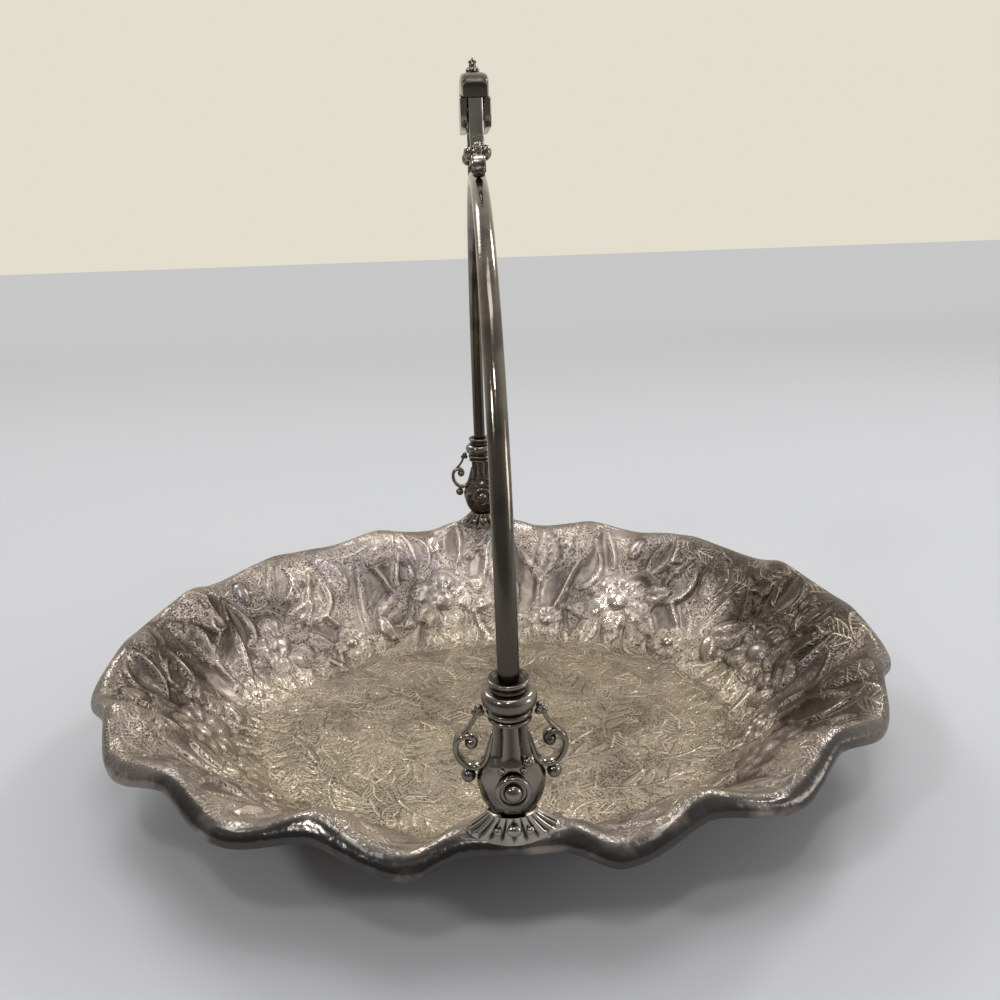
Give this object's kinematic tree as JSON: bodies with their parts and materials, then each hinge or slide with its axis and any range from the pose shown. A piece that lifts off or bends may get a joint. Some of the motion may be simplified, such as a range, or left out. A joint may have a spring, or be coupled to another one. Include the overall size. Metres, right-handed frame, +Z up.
{
  "type": "brides basket",
  "caption": "Oval silver-plated table basket: a ruffled, chased dish with a rolled rim, under an arched swing handle pivoted on small urn-shaped posts.",
  "frame": {"origin": "middle of the flat bottom, on the surface the basket stands on", "axes": "+Z up; X along the dish's length; Y from post to post, with the handle's arch in the Y-Z plane and its hinge axis along Y"},
  "size_m": [0.2962, 0.261, 0.2477],
  "materials": {
    "chased_plate": "tarnished silver plate, chased and stippled, worn bright on the rolled rim",
    "cast_plate": "dark tarnished silver plate on castings, bright on the high points",
    "drawn_rod": "smooth tarnished silver plate on a drawn rod"
  },
  "bodies": {
    "basket": {"dish": "chased_plate", "foot_front": "cast_plate", "foot_back": "cast_plate"},
    "handle": {"urn_front": "cast_plate", "urn_back": "cast_plate", "pivot_rivet_front": "cast_plate", "pivot_rivet_back": "cast_plate", "rosette_front_outer": "cast_plate", "rosette_front_inner": "cast_plate", "rosette_back_outer": "cast_plate", "rosette_back_inner": "cast_plate", "scroll_front_left": "cast_plate", "scroll_front_right": "cast_plate", "scroll_back_left": "cast_plate", "scroll_back_right": "cast_plate", "collar_front": "cast_plate", "collar_back": "cast_plate", "handle_arch": "drawn_rod", "strap_front": "cast_plate", "strap_back": "cast_plate", "eye_pin_front": "cast_plate", "eye_pin_back": "cast_plate", "plaque_left": "cast_plate", "plaque_right": "cast_plate", "crest_block": "cast_plate", "crest_cap": "cast_plate", "finial": "cast_plate"}
  },
  "joints": [
    {"name": "handle_swing", "type": "hinge", "parent": "basket", "child": "handle", "pos_m": [0, 0, 0.0607], "axis": [0, 1, 0], "range_deg": [-54, 54]}
  ]
}
